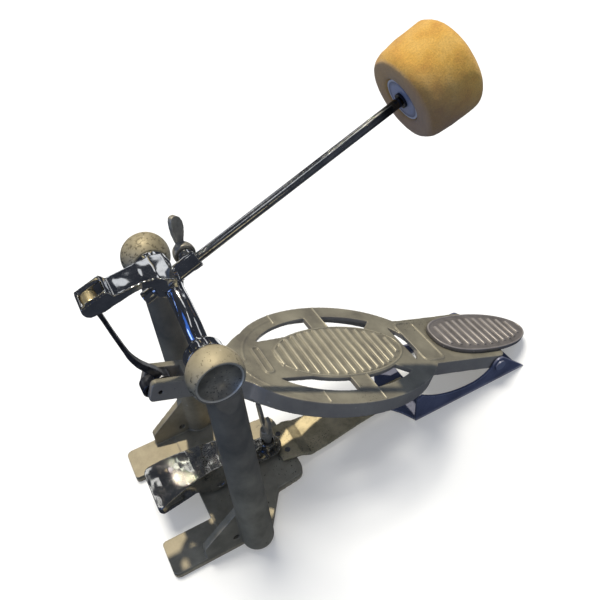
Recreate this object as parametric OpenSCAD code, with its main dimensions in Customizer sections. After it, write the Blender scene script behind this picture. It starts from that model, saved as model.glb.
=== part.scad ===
// Bass drum pedal with two sprung posts, a chromed rocker and a ribbed cast footboard.
// +X points to the player's heel, +Z up. The origin is on the floor, under the rocker axis.
// Left is the player's left, the -Y side. Board sizes count from the heel hinge towards the toe.

/* [Frame casting] */
// Height of the rocker axis above the floor
axis_h = 171.5; // [168:0.5:180]
// Distance of each post head from the mid-plane
head_y = 55.7; // [54:0.1:60]
// Radius of the ball-shaped post heads
head_r = 15.1; // [15:0.1:16.5]
// Distance of a head's outer lip from the head centre
lip_out = 6.8; // [6.5:0.1:7]
// Distance of a head's inner face from the head centre
face_in = 10.5; // [10.2:0.1:10.8]
// Distance of the post axis behind the rocker axis
post_x = 1.5; // [1:0.1:2]
// Distance that the post's foot stands behind its head
post_lean = 2.2; // [1:0.1:2.6]
// Post radius just under the head
post_r_top = 9.8; // [9.6:0.1:11]
// Post radius at the foot
post_r_foot = 11; // [10.5:0.1:12]
// Thickness of the base plate
base_t = 6.5; // [5.5:0.1:7.5]
// Reach of the two prongs in front of the rocker axis
prong_front = 55.5; // [50:0.5:62]
// Half of the width over the prongs
base_half = 54; // [53:0.5:56]
// Half of the gap between the prongs
gap_half = 28.5; // [25:0.5:32]
// Rear edge of the gap, in front of the rocker axis
gap_rear = 19.5; // [16:0.5:23]
// Rear edge of the tongue behind the rocker axis
tongue_rear = 54.5; // [54:0.5:58]
// Half of the width of the tongue
tongue_half = 30; // [27:0.5:33]
// Thickness of the side gussets
fin_t = 5; // [4:0.1:6]
// Front edge of the gussets, in front of the rocker axis
fin_front = 32.5; // [28:0.5:38]
// Height of a gusset's front edge above the floor
fin_low = 18; // [15:0.5:21]
// Height of a gusset where it meets the post
fin_high = 40; // [34:0.5:48]
// Radius of the spur hole through each gusset
spur_r = 2.25; // [2:0.05:2.6]

/* [Rocker] */
// Height of the beater socket's centre above the rocker axis
hub_rise = 20.8; // [19:0.1:23]
// Distance of the socket's centre in front of the rocker axis
hub_set = 1.3; // [0.5:0.1:2]
// Slope of the beater rod above level at rest
rod_angle = 22.4; // [18:0.1:26]
// Radius of the round rocker arms
arm_r = 5.2; // [4.8:0.1:5.8]
// Radius of the flange at each end of the rocker
flange_r = 10.9; // [10.4:0.1:11.6]
// Thickness of those flanges
flange_t = 8.2; // [7:0.1:9]
// Running gap between a flange and its post head
flange_gap = 0.35; // [0.3:0.05:0.5]
// Distance of the crank pin in front of the rocker axis
crank_reach = 41; // [39:0.5:43]
// Height of the crank pin above the rocker axis
crank_rise = 26; // [25:0.25:27]
// Width of the crank arm to the left of the mid-plane
crank_left = 7.6; // [7.4:0.1:9]
// Width of the crank arm to the right of the mid-plane
crank_right = 9.4; // [9:0.1:10.5]
// Width of the fork to the left of the mid-plane
fork_left = 7.2; // [7:0.1:7.6]
// Width of the fork to the right of the mid-plane
fork_right = 8.8; // [7.6:0.1:9]
// Half of the width of the slot in that fork
fork_slot = 4.6; // [4.4:0.05:4.8]
// Side of the square part of the beater socket
socket_w = 9.2; // [9:0.1:9.8]
// End of the socket towards the beater, along the rod
socket_top = 20.8; // [20.7:0.1:23]
// End of the socket's round tail, along the rod
socket_tail = 15; // [13:0.5:17]
// Place of the wing screw along the rod
screw_s = 16; // [15.5:0.1:16.1]
// Radius of the wing screw's thread
screw_r = 2.5; // [2.3:0.05:2.8]

/* [Beater] */
// Radius of the beater rod
rod_r = 2.78; // [2.6:0.02:3.1]
// Radial play of the rod in its socket
rod_play = 0.05; // [0.03:0.01:0.09]
// Start of the felt head along the rod
felt_s = 158; // [140:0.2:170]
// Length of the felt head
felt_l = 37; // [34:0.2:46]
// Radius of the felt head at its lower end
felt_r_low = 26.4; // [25:0.2:28]
// Radius of the felt head at its upper end
felt_r_top = 27.2; // [24:0.2:28]
// Radius of the lower washer
washer_r = 12.3; // [10:0.1:14]
// Thickness of both washers
washer_t = 1.2; // [1:0.1:1.6]

/* [Spring posts] */
// Outer radius of the ball bearings
brg_r = 9.5; // [9.3:0.1:9.7]
// Radius of the rocker axles
axle_r = 3; // [2.9:0.05:3.1]
// Width of the ball bearings
brg_w = 6; // [5.8:0.1:6]
// Throw of the crank inside each head
throw_r = 5; // [4.6:0.1:5.2]
// Half of the rocker's swing, and the crank's lead at rest
half_swing = 31; // [29:0.5:33]
// Radius of the bore in each post
bore_r = 7.2; // [7:0.05:7.3]
// Radial play of the plunger and adjuster in that bore
bore_play = 0.05; // [0.03:0.01:0.09]
// Height of the plunger's lower face above the floor
plunger_z = 108; // [100:1:112]
// Mean radius of the springs
coil_r = 5; // [4.6:0.1:5.4]
// Thickness of the spring wire
wire_d = 1.7; // [1.4:0.1:2]
// Number of spring curls
curls = 14; // [11:1:16]

/* [Footboard] */
// Distance of the heel hinge behind the rocker axis
hinge_x = 231.4; // [226:0.5:236]
// Height of the heel hinge above the floor
hinge_z = 18.75; // [17.5:0.25:20]
// Slope of the footboard at rest
board_angle = 22.4; // [21.9:0.1:22.9]
// Distance from the heel hinge to the toe pin
toe_u = 275.3; // [274:0.1:276.5]
// Height of the tread above the line through both pins
tread_n = 7.5; // [7.2:0.1:8]
// Thickness of the tread plate
tread_t = 3.6; // [3:0.1:4.4]
// Depth of the skirt below the tread
skirt_d = 12.6; // [11:0.2:13]
// Thickness of the skirt
skirt_t = 3; // [2.4:0.1:3.6]
// Centre of the oval ring
ring_u = 142; // [138:0.5:146]
// Half of the length of the oval ring on its left
ring_a = 85.4; // [80:0.2:90]
// Half of the length of the oval ring on its right
ring_a_right = 80; // [78:0.2:90]
// Half of the width of the oval ring
ring_b = 51.8; // [47:0.2:55]
// Width of the band between ring edge and openings
ring_band = 12.3; // [11:0.1:14]
// Width of the crossbars
bar_w = 14; // [11:0.5:17]
// Half of the width of the neck
neck_half = 26.4; // [25.5:0.1:27]
// Pitch of the tread ribs
rib_pitch = 6.9; // [6.4:0.1:7]
// Width of one rib
rib_w = 2.8; // [2.4:0.1:3.2]
// Height of one rib
rib_h = 0.9; // [0.6:0.1:1.2]
// Half of the width of the toe fork
toe_half = 9.2; // [9:0.1:10]
// Half of the width of the slot in the toe fork
toe_slot = 4.8; // [4.6:0.05:5]
// Radius of the toe pin and the crank pin
pin_r = 2.5; // [2.4:0.05:2.6]
// Length of the heel plate behind its middle
plate_a = 56; // [52:0.5:60]
// Half of the width of the heel plate
plate_b = 22.5; // [22:0.1:24]
// Thickness of the heel plate
plate_t = 3; // [2.6:0.1:3.6]

/* [Heel bracket and strap] */
// Inner half width of the heel bracket
brk_in = 28.6; // [28.5:0.1:29.5]
// Sheet thickness of the heel bracket
brk_t = 2.2; // [1.8:0.1:2.6]
// Radius of the hinge pin
hpin_r = 3; // [2.8:0.05:3.2]
// Front edge of the bracket walls
brk_front = 151; // [146:0.5:156]
// Rear edge of the bracket floor
brk_rear = 261; // [257:0.5:268]
// Half of the width of the strap where it leaves the tongue
strap_half = 17.5; // [16:0.25:18]
// Thickness of the strap
strap_t = 2.5; // [2:0.1:3]

/* [Hoop clamp] */
// Front edge of the clamp, in front of the rocker axis
clamp_front = 49.5; // [46:0.5:53]
// Height of the clamp lip's lower edge
lip_z = 19.6; // [19.2:0.2:23]
// Sheet thickness of the clamp
clamp_t = 2.6; // [2.2:0.1:3]
// Distance of the clamp's pivot in front of the rocker axis
pivot_x = 4; // [2:0.5:6]
// Height of the clamp's pivot above the floor
pivot_z = 13.2; // [13:0.1:14]
// Distance of the clamp screw behind the rocker axis
cscrew_x = 39.5; // [38.5:0.1:40.3]
// Radius of the clamp screw
cscrew_r = 3; // [2.7:0.05:3.2]
// Height of the clamp screw's wing tips
wing_top = 54; // [50:0.5:57]

/* [Hidden] */
// small seat and running allowances
seat = 0.02;
run = 0.06;
// places worked out from the sizes above
hub_z = axis_h + hub_rise;
crank_x = -crank_reach;
crank_z = axis_h + crank_rise;
toe_x = hinge_x - toe_u * cos(board_angle);
toe_z = hinge_z + toe_u * sin(board_angle);
head_in = head_y - face_in;
head_out = head_y + lip_out;
brg_y = head_in + 1.2;
web_y = brg_y + brg_w + 0.6;
web_t = 2;
cham_y = web_y + web_t + 3.6;
cap_r = sqrt(head_r * head_r - lip_out * lip_out) - 0.6;
pin_x = -throw_r * cos(half_swing);
pin_z = axis_h + throw_r * sin(half_swing);
cup_z = plunger_z + 6;
ball_r = 2.6;
cup_play = 1.3;
adj_z = 4;
foot_z = 3;
toe_low = 6.95;
adj_h = 10;
race_in = axle_r + 1.7;
race_out = brg_r - 1.7;
pitch_r = (axle_r + brg_r) / 2;
flange_y = head_in - flange_gap;
arch_y = flange_y - flange_t / 2;
arch_r = (arch_y * arch_y + hub_rise * hub_rise) / (2 * hub_rise);
arch_a = asin(arch_y / arch_r);
plate_u = 4.5;
plate_nose = 48.8;
panel_u = ring_u - 0.8;
panel_a = 53.6;
panel_b = 26.2;
eye_long = 3.95;
eye_tall = 0.95;
felt_top = felt_s + felt_l;
recess = 2.6;
strap_z = brk_t;
rivet_x = [brk_front - 25, brk_front - 11, brk_front + 8];
floor_end = brk_front + 17;
strap_screw_x = tongue_rear - 3.5;

function arc(cx, cy, r, a0, a1, n = 8) =
  [for (i = [0 : n])
    [cx + r * cos(a0 + (a1 - a0) * i / n), cy + r * sin(a0 + (a1 - a0) * i / n)]];
function oval(cx, a, b, n = 72) =
  [for (i = [0 : n - 1]) [cx + a * cos(360 * i / n), b * sin(360 * i / n)]];
function flip(p) = [for (i = [len(p) - 1 : -1 : 0]) [p[i][0], -p[i][1]]];
function whole(p) = concat(p, flip(p));
function half_at(d, a, b) = b * sqrt(max(0, 1 - (d / a) * (d / a)));

module mirrored(left) {
  if (left) mirror([0, 1, 0]) children();
  else children();
}
module slab(p, z0, z1) translate([0, 0, z0]) linear_extrude(z1 - z0) polygon(p);
module across(p, y0, y1) translate([0, y1, 0]) rotate([90, 0, 0]) linear_extrude(y1 - y0) polygon(p);
module yrod(x, z, r, y0, y1, fn = 48)
  translate([x, y0, z]) rotate([-90, 0, 0]) cylinder(h = y1 - y0, r = r, $fn = fn);
module turned_y(z, p) translate([0, 0, z]) rotate([-90, 0, 0]) rotate_extrude($fn = 64) polygon(p);
module box(x0, x1, y0, y1, z0, z1) translate([x0, y0, z0]) cube([x1 - x0, y1 - y0, z1 - z0]);
module on_rod() translate([-hub_set, 0, hub_z]) rotate([0, 90 - rod_angle, 0]) children();
module on_board() translate([hinge_x, 0, hinge_z]) rotate([0, board_angle, 0]) children();

// frame casting: base plate, two posts with heads, gussets and pivot lugs
base_plan = whole(concat(
  [[-gap_rear, gap_half]],
  arc(-prong_front + 2, gap_half + 2, 2, 270, 180, 4),
  arc(-prong_front + 3.5, base_half - 3.5, 3.5, 180, 90, 5),
  [[15, base_half], [31, tongue_half + 1.6]],
  arc(tongue_rear - 8, tongue_half - 8, 8, 80, 0, 6)));
fin_plan = [[-fin_front, base_t - 1], [-fin_front, fin_low - 2], [-fin_front + 1, fin_low],
  [-post_r_foot + 4, fin_high], [0, fin_high], [0, base_t - 1]];

module head_solid() intersection() {
  translate([0, head_y, axis_h]) sphere(r = head_r, $fn = 96);
  box(-30, 30, head_in, head_out, axis_h - 30, axis_h + 30);
}
// the post leans a little, and slopes off under the rim of its head
module post_solid() difference() {
  translate([post_x, head_y, axis_h]) rotate([-0.27, -asin(post_lean / axis_h), 0]) translate([0, 0, -axis_h])
    rotate_extrude($fn = 72) polygon(concat([[0, foot_z]], arc(post_r_foot - 3, foot_z + 3, 3, -90, 0, 5),
      [[post_r_top, axis_h - 10], [0, axis_h - 10]]));
  translate([-20, 0, axis_h]) rotate([90, 0, 90]) linear_extrude(40) polygon([[head_out, 0], [head_out, -13.6],
    [head_y + post_r_top + 0.6, -23], [head_y + 20, -23], [head_y + 20, 0]]);
}
module head_space() {
  turned_y(axis_h, [[0, head_in - 1], [8, head_in - 1], [8, brg_y], [brg_r + seat, brg_y],
    [brg_r + seat, web_y - 0.4], [10.6, web_y - 0.4], [10.6, cham_y], [cap_r + seat, cham_y],
    [cap_r + seat, head_out + 1], [0, head_out + 1]]);
  translate([post_x, head_y, -1]) cylinder(h = axis_h - 18 + 1, r = bore_r, $fn = 48);
  box(post_x - bore_r - 0.4, post_x + bore_r + 0.4, head_y - 3.6, head_y + 4, axis_h - 18.5, axis_h - 4);
}
module frame_casting() color("#5b5a4c") difference() {
  union() {
    slab(base_plan, 0, base_t);
    for (left = [false, true]) mirrored(left) {
      head_solid();
      post_solid();
      across(fin_plan, base_half - fin_t, base_half);
      across(concat([[-pivot_x - 5, base_t - 1]], arc(-pivot_x, pivot_z, 4.6, 180, 0, 10),
        [[-pivot_x + 5, base_t - 1]]), 4, 8.8);
    }
  }
  for (left = [false, true]) mirrored(left) {
    head_space();
    yrod(-10.5, 13.3, spur_r, base_half - fin_t - 1, base_half + 1, 32);
    box(-80, -18.5, gap_half - 1, base_half - fin_t, base_t - 0.5, base_t + 1);
    box(-80, -fin_front - 0.2, gap_half - 1, base_half + 1, base_t - 0.5, base_t + 1);
  }
  yrod(-pivot_x, pivot_z, pin_r + seat, -9.5, 9.5, 32);
  translate([cscrew_x, 0, base_t - 1.2]) cylinder(h = 2, r = cscrew_r + 0.5, $fn = 32);
  for (y = [-8, 8]) translate([strap_screw_x, y, -1]) {
    cylinder(h = 12, r = 2.05, $fn = 32);
    cylinder(h = 3.2, r = 3.7, $fn = 32);
  }
}

// pressed cap that closes the outer side of a head with a shallow dish
module head_cap(left) color("#6a6552") mirrored(left)
  turned_y(axis_h, concat([[0, cham_y + 0.1], [cap_r, cham_y + 0.1], [cap_r, head_out - 0.3],
    [cap_r - 0.4, head_out - 0.3]], [for (i = [0 : 8]) let (r = (cap_r - 0.7) * (8 - i) / 8)
    [r, cham_y + 0.9 + (head_out - 0.5 - cham_y - 0.9) * pow(r / (cap_r - 0.7), 2)]]));

// ball bearing of one head
module outer_race(left) color("#a9adb2") mirrored(left) difference() {
  turned_y(axis_h, [[race_out, brg_y + 0.02], [brg_r, brg_y + 0.02], [brg_r, brg_y + brg_w],
    [race_out, brg_y + brg_w]]);
  translate([0, brg_y + brg_w / 2, axis_h]) rotate([-90, 0, 0])
    rotate_extrude($fn = 64) translate([pitch_r, 0]) circle(r = 1.78, $fn = 32);
}
module inner_race(left) color("#a9adb2") mirrored(left) difference() {
  turned_y(axis_h, [[axle_r + seat, brg_y + 0.02], [race_in, brg_y + 0.02],
    [race_in, brg_y + brg_w], [axle_r + seat, brg_y + brg_w]]);
  translate([0, brg_y + brg_w / 2, axis_h]) rotate([-90, 0, 0])
    rotate_extrude($fn = 64) translate([pitch_r, 0]) circle(r = 1.78, $fn = 32);
}
module balls(left) color("#c9ccd0") mirrored(left)
  for (i = [0 : 7]) translate([pitch_r * cos(45 * i), brg_y + brg_w / 2, axis_h + pitch_r * sin(45 * i)])
    sphere(r = 1.7, $fn = 32);

// steel axle with the crank web and pin that work the spring
module rocker_axle(left) color("#b4b8bd") mirrored(left) union() {
  yrod(0, axis_h, axle_r, flange_y - flange_t - 2, web_y + 0.1);
  yrod(0, axis_h, 8, web_y, web_y + web_t, 64);
  yrod(pin_x, pin_z, 1.5, web_y + web_t - 0.1, web_y + web_t + 3.2, 32);
}

// thrust rod from the crank pin down to the plunger's cup
rod_foot_x = post_x + throw_r * (1 - cos(half_swing)) / 2;
rod_foot_z = cup_z + ball_r + 0.12;
rod_len = sqrt(pow(rod_foot_x - pin_x, 2) + pow(pin_z - rod_foot_z, 2));
rod_tilt = atan2(pin_x - rod_foot_x, pin_z - rod_foot_z);
module thrust_rod(left) color("#b4b8bd") mirrored(left) difference() {
  union() {
    translate([rod_foot_x, web_y + web_t + 1.5, rod_foot_z]) {
      sphere(r = ball_r, $fn = 32);
      rotate([0, rod_tilt, 0]) cylinder(h = rod_len - 2, r = 1.2, $fn = 32);
    }
    yrod(pin_x, pin_z, 3.2, web_y + web_t + 0.3, web_y + web_t + 2.7, 32);
  }
  yrod(pin_x, pin_z, 1.5 + run, web_y + web_t - 1, web_y + web_t + 4, 32);
}
// guided plunger on top of the spring
module plunger(left) color("#8e9297") mirrored(left) translate([post_x, head_y, 0]) difference() {
  translate([0, 0, plunger_z]) cylinder(h = 14, r = bore_r - bore_play, $fn = 48);
  translate([0, 0, cup_z]) cylinder(h = 10, r = ball_r + cup_play, $fn = 32);
}
// compression spring: one wire, its curls kept apart
spring_lo = adj_z + adj_h + 0.3 + wire_d / 2;
spring_hi = plunger_z - 0.3 - wire_d / 2;
spring_n = 8 * curls;
echo(spring_curl_gap = (spring_hi - spring_lo) / curls - wire_d);
module spring(left) color("#9da1a6") mirrored(left) translate([post_x, head_y, 0]) polyhedron(
  points = [for (i = [0 : spring_n]) for (k = [0 : 5])
    let (a = 45 * i, q = coil_r + wire_d / 2 * cos(60 * k))
    [q * cos(a), q * sin(a), spring_lo + (spring_hi - spring_lo) * i / spring_n + wire_d / 2 * sin(60 * k)]],
  faces = concat([[0, 1, 2, 3, 4, 5]],
    [for (i = [0 : spring_n - 1]) for (k = [0 : 5])
      [6 * i + k, 6 * i + 6 + k, 6 * i + 6 + (k + 1) % 6]],
    [for (i = [0 : spring_n - 1]) for (k = [0 : 5])
      [6 * i + k, 6 * i + 6 + (k + 1) % 6, 6 * i + (k + 1) % 6]],
    [[for (k = [5 : -1 : 0]) 6 * spring_n + k]]));
// slotted screw at the post's foot that sets the spring's load
module adjuster(left) color("#8e9297") mirrored(left) translate([post_x, head_y, adj_z]) difference() {
  cylinder(h = adj_h, r = bore_r - bore_play, $fn = 48);
  translate([-10, -0.9, -1]) cube([20, 1.8, 3.2]);
}

// rocker: arched arms, beater socket and forked crank in one casting
// the crank's outer points move with its reach
function out_x(x) = x * crank_reach / 41;
body_side = concat(
  [[2, hub_z + 9]], [[-6, hub_z + 11.2], [-14, hub_z + 11.4]],
  [for (p = [[-22, 10.4], [-27.5, 9.6], [-30, 9.4], [-31.5, 11.6], [-33, 12.8], [-44, 8.6]])
    [out_x(p[0]), hub_z + p[1]]],
  [[-crank_reach - 5.8, crank_z + 2.4]],
  arc(-crank_reach - 0.8, crank_z + 0.6, 5.4, 180, 250, 6),
  [for (p = [[-36, 1.2], [-32, 2.7], [-28, 4.1], [-24, 5.4], [-20, 6.5], [-16, 7.1]])
    [out_x(p[0]), hub_z + p[1]]],
  [[-11, hub_z + 6], [-5, hub_z + 2], [2, hub_z - 5]]);
module rocker_casting() color("#c9cdd2") difference() {
  union() {
    translate([0, 0, hub_z - arch_r]) rotate([0, -90, 0]) rotate([0, 0, -arch_a])
      rotate_extrude(angle = 2 * arch_a, $fn = 96) translate([arch_r, 0]) circle(r = arm_r, $fn = 40);
    translate([-hub_set, 0, hub_z]) sphere(r = 9, $fn = 64);
    intersection() {
      across(body_side, -14, 14);
      slab([[4, 13.5], [-4, 13.2], [-9, 11.2], [-15, crank_right + 0.2], [out_x(-28), crank_right],
        [out_x(-31), fork_right], [out_x(-60), fork_right], [out_x(-60), -fork_left],
        [out_x(-31), -fork_left], [out_x(-28), -crank_left], [-15, -crank_left],
        [-9, -crank_left - 1], [-4, -crank_left - 3.2], [4, -12.5]], hub_z - 20, hub_z + 20);
    }
    on_rod() {
      intersection() {
        rotate([0, 0, 45]) translate([-socket_w / 2, -socket_w / 2, 2]) cube([socket_w, socket_w, socket_top - 2]);
        translate([-5.7, -5.7, 0]) cube([11.4, 11.4, 40]);
      }
      translate([0, 0, -socket_tail]) cylinder(h = socket_tail + 4, r = 3.8, $fn = 40);
      translate([0, 3, screw_s]) rotate([-90, 0, 0]) cylinder(h = 4.9, r = 4.6, $fn = 40);
    }
    for (left = [false, true]) mirrored(left)
      turned_y(axis_h, [[0, flange_y - flange_t], [flange_r - 2.5, flange_y - flange_t],
        [flange_r, flange_y - flange_t + 2], [flange_r, flange_y], [0, flange_y]]);
  }
  on_rod() {
    translate([0, 0, -40]) cylinder(h = 80, r = rod_r + rod_play, $fn = 40);
    translate([0, 0, screw_s]) rotate([-90, 0, 0]) cylinder(h = 12, r = screw_r + run, $fn = 32);
  }
  for (left = [false, true]) mirrored(left) yrod(0, axis_h, axle_r + seat, 20, head_y, 48);
  box(crank_x - 4.6, out_x(-32.8), -fork_slot, fork_slot, crank_z - 20, crank_z + 20);
  box(crank_x - 20, crank_x, -fork_slot, fork_slot, crank_z - 20, crank_z - 0.6);
  yrod(crank_x, crank_z, pin_r + seat, 1.5 - fork_left, 12, 40);
}
module crank_pin() color("#b4b8bd") yrod(crank_x, crank_z, pin_r, 1.6 - fork_left, fork_right - 0.3, 40);

// link from the crank pin to the toe pin, with a long lower eye
link_d = [toe_x - crank_x, toe_z - crank_z];
link_len = norm(link_d);
link_w = [-link_d[1] / link_len, link_d[0] / link_len];
// rows: share of the length, sideways offset, half thickness
link_path = [[2.28 / link_len, 0, 1.5], [0.155, -0.4, 1.2], [0.34, -1.4, 1.2],
  [0.528, -2.1, 1.3], [0.6, -2.3, 1.5],
  [0.66, -1.9, 1.7], [0.732, -0.9, 2], [0.813, 1.2, 2.3], [1 - 9.88 / link_len, 3, 2.6],
  [1 - 4.56 / link_len, 4, 2.8]];
function link_at(f, w) = [crank_x, crank_z] + f * link_d + w * link_w;
link_shape = concat([for (p = link_path) link_at(p[0], p[1] + p[2])],
  [for (i = [len(link_path) - 1 : -1 : 0]) link_at(link_path[i][0], link_path[i][1] - link_path[i][2])]);
function long_eye(r) = [for (q = concat(arc(eye_long, 0, r, -90, 90, 12), arc(-eye_long, 0, r, 90, 270, 12)))
  [toe_x, toe_z] + q[0] * link_w - q[1] * link_d / link_len];
module link_strap() color("#9a9da3") difference() {
  union() {
    across(link_shape, -2.4, 2.4);
    yrod(crank_x, crank_z, 4.3, -4.2, 4.2, 40);
    across(long_eye(pin_r + eye_tall + 2.1), -4.2, 4.2);
  }
  yrod(crank_x, crank_z, pin_r + run, -6, 6, 40);
  across(long_eye(pin_r + eye_tall), -6, 6);
}
module toe_pin() color("#b4b8bd") yrod(toe_x, toe_z, pin_r, 2.3 - toe_half, toe_half - 0.4, 40);

// footboard casting; its outline is drawn with the skirt's inset d
function ring_oval(d) = [for (i = [0 : 95]) let (t = 360 * (i + 0.5) / 96)
  [-ring_u + ((t < 180 ? ring_a_right : ring_a) - d) * cos(t), (ring_b - d) * sin(t)]];
module board_plan(d) {
  polygon(ring_oval(d));
  polygon(whole(concat([[-84, neck_half + 1.2 - d], [-68, neck_half - d], [-30, neck_half + 0.9 - d],
    [-8, brk_in - 0.4 - d]], arc(0, brk_in - 6.4 - d, 6, 90, 0, 6))));
}
module toe_plan() polygon(whole([[-ring_u - ring_a + 23.4, 31], [-ring_u - ring_a + 17.4, 28.2],
  [-ring_u - ring_a + 11.4, 24],
  [-ring_u - ring_a + 5, 18.5], [-ring_u - ring_a - 2, 13.5], [-ring_u - ring_a - 11, 10.8],
  [-ring_u - ring_a - 20, toe_half], [-toe_u - 8, toe_half]]));
// four windows between the ring, the panel and the crossbar
module openings() difference() {
  polygon(oval(-ring_u, ring_a - ring_band - 6.2, ring_b - ring_band, 72));
  polygon(whole(concat([[-panel_u + 57, 33], [-panel_u + 44.5, 28.8]],
    [for (i = [0 : 12]) let (d = 35 - 5.9 * i) [-panel_u + d, half_at(d, panel_a + 1.2, panel_b + 1.2)]],
    [[-panel_u - 58.8, 18.7], [-panel_u - 72, 16.8]])));
  translate([-ring_u - 1 - bar_w / 2, -60]) square([bar_w, 120]);
}
module panel_plan(d) polygon(oval(-panel_u, panel_a - d, panel_b - d, 72));
function round_box(x0, x1, w, r) =
  whole(concat(arc(x1 - r, w - r, r, 0, 90, 5), arc(x0 + r, w - r, r, 90, 180, 5)));
// raised frame of an oblong plaque
module plaque(x0, x1, w, r, line) difference() {
  polygon(round_box(x0, x1, w, r));
  polygon(round_box(x0 + line, x1 - line, w - line, r - line * 0.6));
}
module bars(first, step, n, mid, a, b)
  for (i = [0 : n - 1]) let (u = first + step * i, h = half_at(u - mid, a, b))
    translate([-u - rib_w / 2, -h]) square([rib_w, 2 * h]);
module footboard() color("#77745f") on_board() difference() {
  union() {
    translate([0, 0, tread_n - tread_t]) linear_extrude(tread_t) difference() {
      union() {
        board_plan(0);
        toe_plan();
      }
      openings();
    }
    translate([0, 0, tread_n - skirt_d]) linear_extrude(skirt_d) difference() {
      board_plan(0);
      board_plan(skirt_t);
    }
    translate([0, 0, -toe_low]) linear_extrude(tread_n + toe_low) difference() {
      toe_plan();
      polygon(ring_oval(skirt_t));
    }
    for (left = [false, true]) mirrored(left) yrod(0, 0, 6.6, 17, brk_in - 0.4);
    translate([0, 0, tread_n - 0.2]) linear_extrude(rib_h + 0.2) {
      bars(panel_u + 50.7, -rib_pitch, 15, panel_u + 2.3, panel_a - 2.1, panel_b - 1.9);
      plaque(-ring_u - 66.3, -ring_u - 59.5, 13.3, 2.6, 1.3);
      plaque(-77, -56.5, 23, 5, 1.5);
    }
    for (s = [-1, 1]) translate([0, 0, tread_n - 0.2]) linear_extrude(0.6) {
      translate([-ring_u - 36.6, s * 40.6 - 5]) square([0.9, 10]);
      translate([-ring_u + 4.8, s * 38.7 - 11.9]) square([0.9, 23.8]);
    }
    translate([0, 0, tread_n - 0.2]) linear_extrude(0.6) {
      difference() {
        panel_plan(0);
        panel_plan(1);
      }
      intersection() {
        difference() {
          polygon(ring_oval(5));
          polygon(ring_oval(6));
        }
        translate([-260, -60]) square([260 - ring_u - 36, 120]);
      }
    }
  }
  translate([0, 0, tread_n - 20]) linear_extrude(40) {
    translate([-28, -17]) square([60, 34]);
    translate([-28, 0]) circle(r = 17, $fn = 64);
  }
  box(-toe_u - 20, -toe_u + 15, -toe_slot, toe_slot, -20, 20);
  difference() {
    box(-toe_u - 20, -toe_u + 1, -20, 20, -20, 20);
    across(concat(arc(-toe_u - 3.1, tread_n - 3, 3, 90, 180, 5), arc(-toe_u - 3.1, 3 - toe_low, 3, 180, 270, 5),
      [[-toe_u + 2, -toe_low - 1], [-toe_u + 2, tread_n + 1]]), -21, 21);
  }
  yrod(0, 0, hpin_r + run, -40, 40);
  yrod(-toe_u, 0, pin_r + seat, 2.2 - toe_half, 20, 40);
  yrod(-toe_u, 0, 1.4, -20, 20, 32);
  for (y = [-19.8, 19.8]) translate([-14, y, -20]) cylinder(h = 40, r = 1.7, $fn = 32);
}
// heel plate, screwed to the tops of the footboard's arms
// blunt at its nose and pointed at the heel
function blunt(v) = sign(v) * pow(abs(v), 0.77);
module plate_plan(d) polygon([for (i = [0 : 71]) let (t = 5 * (i + 0.5), c = cos(t), w = sin(t))
  c < 0 ? [-plate_u + (plate_nose - d) * blunt(c), (plate_b - d) * blunt(w)]
    : [-plate_u + (plate_a - d) * c, (plate_b - d) * w]]);
module heel_plate() color("#6f6864") on_board() difference() {
  union() {
    translate([0, 0, tread_n + 0.02]) linear_extrude(plate_t) plate_plan(0);
    translate([0, 0, tread_n + plate_t - 0.2]) linear_extrude(rib_h + 0.2)
      bars(plate_u + 37.8, -1.184 * rib_pitch, 11, plate_u, plate_a - 5.6, plate_b - 5.6);
    translate([0, 0, tread_n + plate_t - 0.2]) linear_extrude(0.6) difference() {
      plate_plan(0);
      plate_plan(1.6);
    }
  }
  for (y = [-19.8, 19.8]) translate([-14, y, 0]) cylinder(h = tread_n + 2.4, r = 1.6, $fn = 32);
}
module heel_plate_screws() color("#8e9297") on_board()
  for (y = [-19.8, 19.8]) translate([-14, y, 0]) {
    translate([0, 0, tread_n - tread_t - 0.1]) cylinder(h = tread_t + 2.2, r = 1.55, $fn = 32);
    translate([0, 0, tread_n - tread_t - 1.9]) cylinder(h = 1.85, r = 2.6, $fn = 32);
  }
module hinge_pin() color("#b4b8bd") {
  yrod(hinge_x, hinge_z, hpin_r, -brk_in - brk_t - 0.2, brk_in + brk_t + 0.2);
  for (left = [false, true]) mirrored(left)
    yrod(hinge_x, hinge_z, 4.6, brk_in + brk_t + 0.05, brk_in + brk_t + 1.7);
}

// heel bracket: two sheet walls, a front floor with a flared tongue and a rear tie
dip_x = hinge_x - 26.4;
dip_z = hinge_z - 8.25;
wall_side = concat([[brk_rear, 0]], arc(hinge_x, hinge_z, 7, 40, 180, 10),
  arc(dip_x, dip_z + 26, 26, -43, -90, 6), arc(dip_x, dip_z + 78, 78, -94, -129, 10),
  [[brk_front, 25], [brk_front, 0]]);
module heel_bracket() color("#474b57") difference() {
  union() {
    slab(whole([[floor_end, brk_in + brk_t], [brk_front + 0.8, brk_in + brk_t], [brk_front - 5.4, 19],
      [brk_front - 12.3, 9.9], [brk_front - 34, 9]]), 0, brk_t);
    box(brk_rear - 17, brk_rear - 5, -brk_in - 0.1, brk_in + 0.1, 0, brk_t);
    for (left = [false, true]) mirrored(left) across(wall_side, brk_in, brk_in + brk_t);
  }
  yrod(hinge_x, hinge_z, hpin_r + seat, -40, 40);
  for (x = rivet_x) translate([x, 0, -1]) cylinder(h = 9, r = 2.05, $fn = 32);
}
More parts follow.
